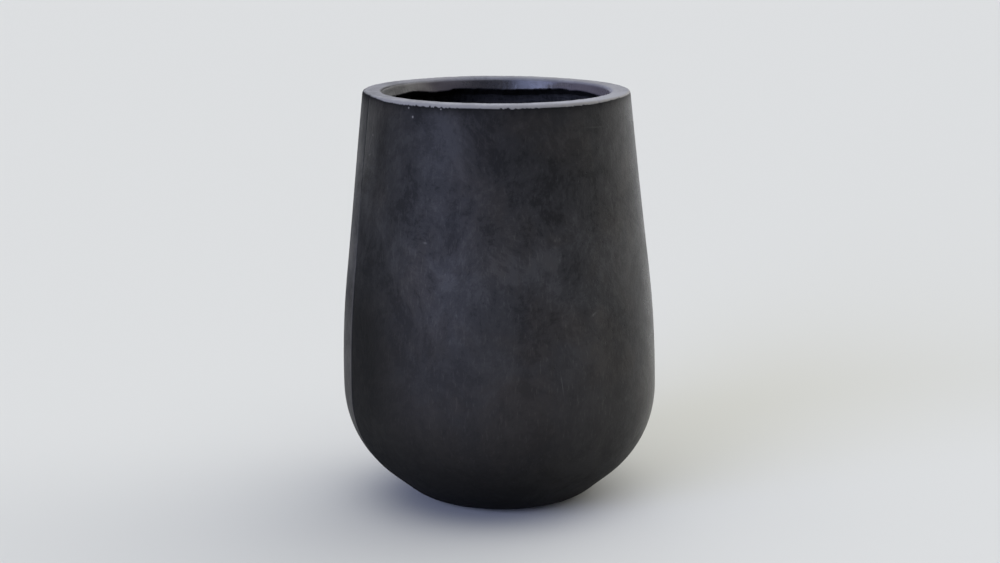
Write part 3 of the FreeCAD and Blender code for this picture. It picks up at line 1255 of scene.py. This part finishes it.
@dataclass
class RimCollar(SubAssembly):
    """The collar inside the mouth: it carries the lip inwards and ends in a ragged trowelled edge.

    The edge marks are degrees to the right of the far side, and depths in millimetres.  The painted sheen
    that makes the collar's sides paler, the dim patches of painted shade and the tip, where the pale edge
    with its painted highlight is narrow, are placed in the same degrees.  A bell is given by its middle and
    its width.
    """

    columns: int = 960
    lip_rows: int = 9
    arris_rows: int = 9
    face_rows: int = 14
    edge_rows: int = 6
    under_rows: int = 7
    back_rows: int = 4
    arris: float = 0.0052
    arris_rough: RoughLine = RoughLine(0.0003, 29, 5, 90, 0.7)
    mouth_rough: RoughLine = RoughLine(0.0002, 31, 3, 12, 0.8)
    draft: float = 0.0040
    draft_depth: float = 0.018
    trowel: Unevenness = Unevenness(0.00018, 37, 22, 150.0)
    trowel_end: float = 0.9
    edge_round: float = 0.0022
    edge_turn: float = 0.55 * math.pi
    haunch: float = 0.010
    face_overlap: int = 4
    edge_overlap: int = 1
    far_heading: float = math.radians(68.0)
    edge_marks: Marks = (
        (-75, 17.6), (-61, 18.0), (-51, 16.0), (-46, 16.8), (-36, 20.3), (-28, 19.2),
        (-21.5, 16.4), (-13, 17.6), (6, 19.7), (19, 18.4), (36, 14.4), (39.5, 14.1),
        (41.5, 15.8), (51, 14.5), (62, 16.0), (75, 17.6))
    edge_blur: float = 0.9
    edge_looks: int = 7
    edge_free: Span = (64.0, 78.0)
    edge_mean: float = 0.0178
    edge_wave: RoughLine = RoughLine(0.0014, 17, 4, 26, 0.4)
    edge_fine: RoughLine = RoughLine(0.00022, 19, 40, 260, 0.5)
    rub_and_light_depth: float = 0.0016
    rub_and_light_fade: float = 0.0034
    tip: Bell = (-82.0, 24.0)
    tip_rub_depth: float = 0.0006
    tip_rub_fade: float = 0.0016
    # Painted sheen that makes the collar's left and right sides paler.
    sheen_left: float = 0.44
    sheen_left_hump: Bell = (-33.0, 17.0)
    sheen_right: float = 0.52
    sheen_right_ramp: Span = (14.0, 50.0)
    # Dim patches of painted shade, most at the left tip.
    dim_left: float = 0.95
    dim_left_hump: Bell = (-84.0, 24.0)
    dim_inner: float = 0.08
    dim_inner_hump: Bell = (-50.0, 20.0)
    dim_depth: Span = (0.0005, 0.0025)

    node = "rim_collar"

    def across(self, angle: Array) -> Array:
        """Degrees to the right of the far side."""
        return -degrees_past(self.far_heading, angle)

    def edge_depth(self, angle: Array) -> Array:
        """Depth of the ragged edge below the rim.

        On the far side it runs straight between the edge marks, with its corners blurred; elsewhere it
        wanders as a rough line; a finer rough line is added all round.

        Args:
            angle: Angles about +Z.

        Returns:
            Depths.
        """
        across = self.across(angle)
        looks = across[:, None] + np.linspace(-self.edge_blur, self.edge_blur, self.edge_looks)
        set_depth = set_depths(self.edge_marks, looks).mean(axis=1)
        free_depth = self.edge_mean + self.edge_wave.at(angle)
        depth = between(set_depth, free_depth, ramp(np.abs(across), *self.edge_free))
        return depth + self.edge_fine.at(angle)

    def section(self, angle: Array) -> tuple[Array, Array, Array]:
        """Closed section of the collar at every angle.

        Rows run over the lip from the shell, round the rubbed inner arris (a curve that bends at the
        corner), down the trowelled face, round the ragged edge, out along the haunch and up the inside.

        Args:
            angle: Angles of the columns.

        Returns:
            Radii and heights as arrays of rows by columns, and each row band's finish (0 clay, 1 raw,
            2 trowelled).
        """
        shape = self.outline
        high = shape.height
        size = self.arris + self.arris_rough.at(angle)
        mouth = shape.mouth_radius + self.mouth_rough.at(angle)
        depth = self.edge_depth(angle)
        t = shares(self.lip_rows, start=True)
        lip_r = between(shape.wall_radius(shape.wall, high), mouth + size, t)
        lip_z = self.hand.lip_z(lip_r, angle)
        t = shares(self.arris_rows)
        arris_r = bent(lip_r[-1], mouth, mouth - self.draft / self.draft_depth * size, t)
        arris_z = bent(lip_z[-1], lip_z[-1], high - size, t)
        t = shares(self.face_rows)
        face_z = between(arris_z[-1], high - depth + self.edge_round, t)
        dabs = self.trowel.at(angle, face_z) * np.sin(math.pi * np.clip(t, 0.0, self.trowel_end))
        face_r = between(arris_r[-1], mouth - self.draft, t) + dabs
        turn = self.edge_turn * shares(self.edge_rows)
        edge_r = face_r[-1] + self.edge_round * (1 - np.cos(turn))
        edge_z = face_z[-1] - self.edge_round * np.sin(turn)
        wall_z = high - depth - self.haunch
        t = shares(self.under_rows)
        under_r = between(edge_r[-1], shape.wall_radius(shape.wall, wall_z), t)
        under_z = between(edge_z[-1], wall_z, t)
        back_z = between(wall_z, high, shares(self.back_rows, end=False))
        back_r = shape.wall_radius(shape.wall, back_z)
        radius = np.concatenate([lip_r, arris_r, face_r, edge_r, under_r, back_r])
        z = np.concatenate([lip_z, arris_z, face_z, edge_z, under_z, back_z])
        face = self.lip_rows + self.arris_rows - self.face_overlap
        raw = face + self.face_rows + self.edge_rows + self.edge_overlap
        zones = np.zeros(len(radius), int)
        zones[face:raw] = 2
        zones[raw:] = 1
        return radius, z, zones

    def marks(self, angle: Array, z: Array) -> dict[str, Array]:
        """How far each point is made pale from rubbing with a painted highlight, given painted shade and
        given painted sheen.

        The pale edge with its painted highlight fades straight with depth, sooner at the tip; the painted
        sheen on the sides and the dim patches of painted shade are bells or straight ramps round the collar.

        Args:
            angle: Angles of the columns.
            z: Heights as an array of rows by columns.

        Returns:
            Arrays of rows by columns by the names of the marks.
        """
        below = self.outline.height - z
        across = self.across(angle)
        tip = hump(across, *self.tip)
        start = between(self.rub_and_light_depth, self.tip_rub_depth, tip)
        end = start + between(self.rub_and_light_fade, self.tip_rub_fade, tip)
        rubbed_and_lit = ramp(below, end, start) * self.hand.rub_and_light_share(angle)
        # Painted sheen: paler sides where the light falls on the collar.
        sheen = self.sheen_left * hump(across, *self.sheen_left_hump)
        sheen = sheen + self.sheen_right * ramp(across, *self.sheen_right_ramp)
        # Painted shade: dim patches, most at the left tip.
        dim = self.dim_left * hump(across, *self.dim_left_hump)
        dim = dim + self.dim_inner * hump(across, *self.dim_inner_hump)
        return {"rubbed_and_lit": rubbed_and_lit, "shade": dim * ramp(below, *self.dim_depth),
                "painted_sheen": np.broadcast_to(sheen, z.shape)}

    def build(self) -> Piece:
        """Builds the collar.

        Returns:
            The piece, with its marks.
        """
        angle = even_angles(self.columns)
        radius, z, zones = self.section(angle)
        return Surface("lip_collar", self.hand.place(radius, angle, z), marks=self.marks(angle, z),
                       zones=zones).build()


@dataclass
class SeamStrap(SubAssembly):
    """A strap of fibre mat over one seam inside: thin, soft-edged, with frayed long sides."""

    side: Side
    width: float = 0.064
    thickness: float = 0.004
    sunk: float = 0.0006
    near_fray: RoughLine = RoughLine(0.0016, 51, 6, 70, 0.4)
    far_fray: RoughLine = RoughLine(0.0016, 53, 6, 70, 0.4)
    flatness: int = 8
    end_run: float = 0.05
    end_share: float = 0.25
    weave: Unevenness = Unevenness(0.0003, 57, 120, 700.0)
    path_points: int = 900
    rows: int = 150
    across: int = 26

    slot = Slot.LAMINATE

    @property
    def node(self) -> str:
        """The strap's node."""
        return self.side.name.lower() + "_seam_strap"

    def build(self) -> Piece:
        """Builds the strap.

        The face at a depth inside the wall is carried up the section; across it the depth swells from the
        wall to the strap's thickness with a steep flat-topped curve, and rough lines fray the two sides.

        Returns:
            The piece.
        """
        low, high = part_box(self.node)
        path = self.outline.wall_path(self.outline.wall, self.outline.height, self.path_points)
        path = path[(path[:, 1] >= low[2]) & (path[:, 1] <= high[2])]
        path = path[np.linspace(0, len(path) - 1, self.rows).astype(int)]
        path_r, path_z = path[:, :1], path[:, 1:]
        along = directions(path)
        run = np.linspace(0.0, TURN, self.rows)[:, None]
        t = np.linspace(-1.0, 1.0, self.across)
        near, far = (self.width / 2 + fray.at(run) for fray in (self.near_fray, self.far_fray))
        angle = self.side.value + np.where(t < 0, t * near, t * far) / path_r
        ends = ramp(np.minimum(run, TURN - run), 0.0, self.end_run)
        body = np.sqrt(np.clip(1.0 - t ** self.flatness, 0.0, 1.0)) * between(self.end_share, 1.0, ends)
        front = body * (self.thickness + self.weave.at(angle, path_z))
        back = np.full_like(front, -self.sunk)
        sheets = [self.hand.place(path_r - depth * along[:, 1:], angle, path_z + depth * along[:, :1])
                  for depth in (front, back)]
        loop = np.concatenate([sheets[0], sheets[1][:, ::-1]], axis=1)
        name = self.side.name.lower() + "_mat_strap"
        return Surface(name, np.swapaxes(loop, 0, 1), whole_turn=False).build()


@dataclass
class FloorDisc(SubAssembly):
    """The mat disc over the seam in the floor: domed edge, uneven top, the drain hole through it."""

    columns: int = 160
    edge: float = 0.0032
    hole_edge: float = 0.0005
    rings: tuple[float, ...] = (1.3, 1.0, 0.7)
    uneven: Unevenness = Unevenness(0.00025, 61, 16, 130.0)
    flat_round_hole: Span = (0.022, 0.032)

    node = "floor_disc"
    slot = Slot.LAMINATE

    def build(self) -> Piece:
        """Builds the disc: a closed section turned about Z, its top lowered by a slow unevenness.

        Returns:
            The piece.
        """
        low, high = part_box(self.node)
        reach, bottom, top = float(high[0]), float(low[2]), float(high[2])
        hole = self.outline.drain_radius
        middle = (hole + reach) / 2
        rings = [(middle * ring, top, 0.0) for ring in self.rings]
        loop = rounded([
            (hole, bottom, 0.0), (middle, bottom, 0.0), (reach, bottom, 0.0), (reach, top, self.edge),
            *rings, (hole, top, self.hole_edge), (hole, bottom, 0.0)])[:-1]
        angle = even_angles(self.columns)
        points = turned(loop, angle)
        radius, z = loop[:, :1], loop[:, 1:]
        drop = np.abs(self.uneven.at(angle, radius))
        points[..., 2] -= drop * (z > (bottom + top) / 2) * ramp(radius, *self.flat_round_hole)
        return Surface("floor_mat", points).build()


@dataclass
class DrainPlug(SubAssembly):
    """The rubber plug: ribbed tapered stem, rounded flange, and a waisted grip to lift it by."""

    columns: int = 72
    clearance: float = 0.0003
    taper: float = 0.0014
    ribs: int = 4
    rib: float = 0.00025
    rib_rows: int = 23
    flange_thickness: float = 0.004
    flange_spread: float = 2.3
    neck_radius: float = 0.005
    neck_rise: float = 0.0004
    grip_radius: float = 0.008
    grip_height: float = 0.008
    grip_rise: float = 0.0012
    stem_ease: float = 0.0012
    seat_ease: float = 0.0007
    neck_ease: float = 0.0012
    ease: float = 0.0014
    top_ease: float = 0.0022

    node = "drain_plug"
    body = Body.PLUG
    slot = Slot.PLUG_RUBBER

    def build(self) -> Piece:
        """Builds the plug: an eased section turned about Z, its stem a taper less a raised cosine of ribs.

        Returns:
            The piece.
        """
        low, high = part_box(self.node)
        seat = float(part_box("floor_disc")[1][2])
        bottom, top, flange = float(low[2]), float(high[2]), float(high[0])
        stem = self.outline.drain_radius - self.clearance
        flange_top = seat + self.flange_thickness
        grip = top - self.grip_height
        rise = shares(self.rib_rows, end=False)
        rib_r = stem - self.taper * (1 - rise) - self.rib * (1 + np.cos(TURN * self.ribs * rise))
        ribs = np.concatenate([rib_r, between(bottom, seat, rise), np.zeros_like(rise)], axis=1)
        section = rounded([
            (0.0, bottom, 0.0), (stem - self.taper, bottom, self.stem_ease), *ribs.tolist(),
            (stem - self.rib, seat, 0.0), (flange, seat, self.seat_ease), (flange, flange_top, self.ease),
            (self.neck_radius * self.flange_spread, flange_top, 0.0),
            (self.neck_radius, flange_top + self.neck_rise, self.neck_ease),
            (self.neck_radius, grip, self.neck_ease),
            (self.grip_radius, grip + self.grip_rise, self.ease), (self.grip_radius, top, self.top_ease),
            (0.0, top, 0.0)])
        return capped_turn("rubber_plug", section, self.columns, np.zeros((1, 2)))


@dataclass
class FootPads(SubAssembly):
    """The rubber pads under the foot ring: low discs with a rounded tread edge and a shallow dish."""

    columns: int = 56
    count: int = 4
    first_heading: float = math.radians(45.0)
    radius: float = 0.012
    thickness: float = 0.002
    dish: float = 0.0004
    dish_ease: float = 0.0004
    dish_share: float = 0.55
    tread_share: float = 0.62
    tread_ease: float = 0.0003
    edge_ease: float = 0.0006
    top_ease: float = 0.0001

    node = "foot_pads"
    slot = Slot.PAD_RUBBER

    def build(self) -> Piece:
        """Builds the pads: one eased section turned about the middle of each pad.

        Returns:
            The piece.
        """
        shape = self.outline
        ring = (shape.recess_radius + shape.recess_depth + shape.foot_radius) / 2
        heading = self.first_heading + even_angles(self.count)
        centres = ring * np.stack([np.cos(heading), np.sin(heading)], axis=1)
        section = rounded([
            (0.0, self.dish, 0.0), (self.radius * self.dish_share, self.dish, self.dish_ease),
            (self.radius * self.tread_share, 0.0, self.tread_ease), (self.radius, 0.0, self.edge_ease),
            (self.radius, self.thickness, self.top_ease), (0.0, self.thickness, 0.0)])
        return capped_turn("rubber_pads", section, self.columns, centres)


# Studio


@dataclass(frozen=True)
class Glow:
    """A soft round panel of the studio's dome.

    Its heading is in degrees to the right of the camera's side, its elevation in degrees; it is full within
    one angle of its middle and gone past another.
    """

    heading: float
    elevation: float
    full: float
    edge: float
    level: float
    tint: Triple = (1.0, 1.0, 1.0)


@dataclass(frozen=True)
class Studio:
    """Pale floor, soft dome of light and the camera at the photograph's viewing angle."""

    azimuth: float = -22.0
    elevation: float = 12.066
    distance: float = 2.8277
    aim_height: float = 0.316345
    side_step: float = -0.0025
    lens: float = 69.08
    sensor: float = 36.0
    floor_reach: float = 90.0
    floor_colour: Colour = (0.703, 0.707, 0.664, 1.0)
    ambient: Triple = (0.02, 0.02, 0.02)
    glows: tuple[Glow, ...] = (
        Glow(0.0, 90.0, 18.0, 62.0, 1.25),
        Glow(124.0, 6.0, 24.0, 52.0, 2.1, (1.02, 1.0, 0.98)),
        Glow(174.0, 14.0, 12.0, 36.0, 1.75, (0.96, 0.99, 1.08)),
        Glow(-42.0, 15.0, 10.0, 28.0, 4.3, (0.80, 0.91, 1.50)),
    )

    def towards(self, heading: float, elevation: float) -> Triple:
        """Direction at a heading to the right of the camera's side, and an elevation, in degrees."""
        turn = math.radians(self.azimuth - 90.0 + heading)
        lift = math.radians(elevation)
        return (math.cos(turn) * math.cos(lift), math.sin(turn) * math.cos(lift), math.sin(lift))

    def build(self) -> None:
        """Makes the floor, the dome and the camera."""
        self.make_floor()
        self.make_dome()
        self.make_camera()

    def make_floor(self) -> None:
        """Makes the floor: one wide square, matt and pale."""
        corners = np.array([(-1.0, -1.0, 0.0), (1.0, -1.0, 0.0), (1.0, 1.0, 0.0), (-1.0, 1.0, 0.0)])
        floor = new_piece("pale_floor", self.floor_reach * corners, [[0, 1, 2, 3]])
        made, graph = blank("pale_paper")
        graph.surface("ShaderNodeBsdfDiffuse", {"Color": self.floor_colour})
        floor.data.materials.append(made)

    def make_dome(self) -> None:
        """Makes the dome: an even dim level plus soft round panels.

        Each panel is its level times an eased step of the cosine between a direction and the panel's own.
        """
        world = bpy.data.worlds.new("studio_dome")
        world.use_nodes = True
        graph = Graph(world.node_tree)
        heading = graph.node("ShaderNodeTexCoord").outputs["Generated"]
        total: Any = self.ambient
        for glow in self.glows:
            panel = self.towards(glow.heading, glow.elevation)
            near = graph.node("ShaderNodeVectorMath", {0: heading, 1: panel}, operation="DOT_PRODUCT")
            share = graph.span(near.outputs["Value"], math.cos(math.radians(glow.edge)),
                               math.cos(math.radians(glow.full)))
            tint = tuple(glow.level * part for part in glow.tint)
            lit = graph.vector("SCALE", {0: tint, "Scale": share})
            total = graph.vector("ADD", {0: total, 1: lit})
        sky = graph.node("ShaderNodeBackground", {"Color": total})
        graph.node("ShaderNodeOutputWorld", {"Surface": sky.outputs[0]})
        bpy.context.scene.world = world

    def make_camera(self) -> None:
        """Makes the camera and aims it near the pot's middle, a step to the left of its axis."""
        back = Vector(self.towards(0.0, self.elevation))
        right = Vector(self.towards(90.0, 0.0))
        aim = Vector((0.0, 0.0, self.aim_height)) + right * self.side_step
        data = bpy.data.cameras.new("photo_camera")
        data.sensor_fit = "HORIZONTAL"
        data.sensor_width = self.sensor
        data.lens = self.lens
        data.clip_end = 4 * self.floor_reach
        camera = bpy.data.objects.new("photo_camera", data)
        camera.location = aim + back * self.distance
        camera.rotation_euler = (-back).to_track_quat("-Z", "Y").to_euler()
        bpy.context.scene.collection.objects.link(camera)
        bpy.context.scene.camera = camera


# Finishes of this pot


SCUFFS_AND_SHEEN = (
    PaleMark(210.1, 0.5915, 0.0022, 0.0022),
    PaleMark(212.4, 0.5798, 0.0028, 0.0028),
    PaleMark(225.4, 0.5929, 0.0020, 0.0024),
    PaleMark(187.6, 0.5469, 0.0026, 0.0030, 0.0, 0.50),
    PaleMark(185.5, 0.5330, 0.0190, 0.0016, -14.0, 0.22),
    PaleMark(186.0, 0.5190, 0.0100, 0.0016, -72.0, 0.20),
    PaleMark(182.4, 0.5110, 0.0090, 0.0016, -18.0, 0.20),
    PaleMark(178.3, 0.4990, 0.0200, 0.0016, -40.0, 0.16),
    PaleMark(220.3, 0.4105, 0.0030, 0.0060, 0.0, 0.25),
    PaleMark(284.0, 0.3087, 0.0120, 0.0030, -60.0, 0.16),
    PaleMark(270.2, 0.2160, 0.0300, 0.0014, 8.0, 0.14),
    PaleMark(291.5, 0.5638, 0.0320, 0.0014, 87.0, 0.10),
    PaleMark(322.0, 0.3130, 0.0160, 0.0040, 0.0, 0.14),
    # Broad painted highlight that lightens the lower right edge.
    PaleMark(323.0, 0.2500, 0.2600, 0.1000, 0.0, 0.10),
)
WALL_CLAY = ClayFinish(scuffs_and_sheen=SCUFFS_AND_SHEEN)
LIP_CLAY = ClayFinish("rubbed_lip_clay", roughness=0.72, side_shade=0.0, lee_shade=0.0, drift=0.0)
TROWELLED_CLAY = ClayFinish(
    "trowelled_clay", deep=(0.020, 0.020, 0.021, 1.0), middle=(0.036, 0.036, 0.037, 1.0),
    pale=(0.058, 0.057, 0.056, 1.0), painted_sheen_tint=(0.220, 0.191, 0.198, 1.0), ior=1.5, roughness=0.29,
    lip_roughness=0.5, streakiness=0.25, relief=0.0002,
    top_shade=0.0, side_shade=0.0, lee_shade=0.0, drift=0.0)
PLUG_RUBBER = RubberFinish("plug_rubber_matt", (0.050, 0.050, 0.051, 1.0), (0.10, 0.10, 0.10, 1.0))
PAD_RUBBER = RubberFinish("pad_rubber_matt", (0.016, 0.016, 0.017, 1.0), (0.04, 0.04, 0.041, 1.0), 0.7)


def main() -> None:
    """Builds the studio, then builds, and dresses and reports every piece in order."""
    logging.basicConfig(level=logging.INFO, format="%(name)s: %(message)s")
    bpy.context.scene.view_settings.view_transform = "Standard"
    Studio().build()
    hand = HandWork(PotOutline())
    wall = WALL_CLAY.material()
    raw = LaminateFinish().material()
    parts: list[tuple[SubAssembly, tuple[Material, ...]]] = [
        *[(HalfShell(hand, half), (wall, raw)) for half in Half],
        (RimCollar(hand), (LIP_CLAY.material(), raw, TROWELLED_CLAY.material())),
        *[(SeamStrap(hand, side), (raw,)) for side in Side],
        (FloorDisc(hand), (raw,)),
        (DrainPlug(hand), (PLUG_RUBBER.material(),)),
        (FootPads(hand), (PAD_RUBBER.material(),)),
    ]
    for part, finishes in parts:
        piece = part.build()
        part.dress(piece, *finishes)
        log.info("%s: %d faces, rides on %s", piece.name, len(piece.data.polygons), part.body.value)


if __name__ == "__main__":
    main()
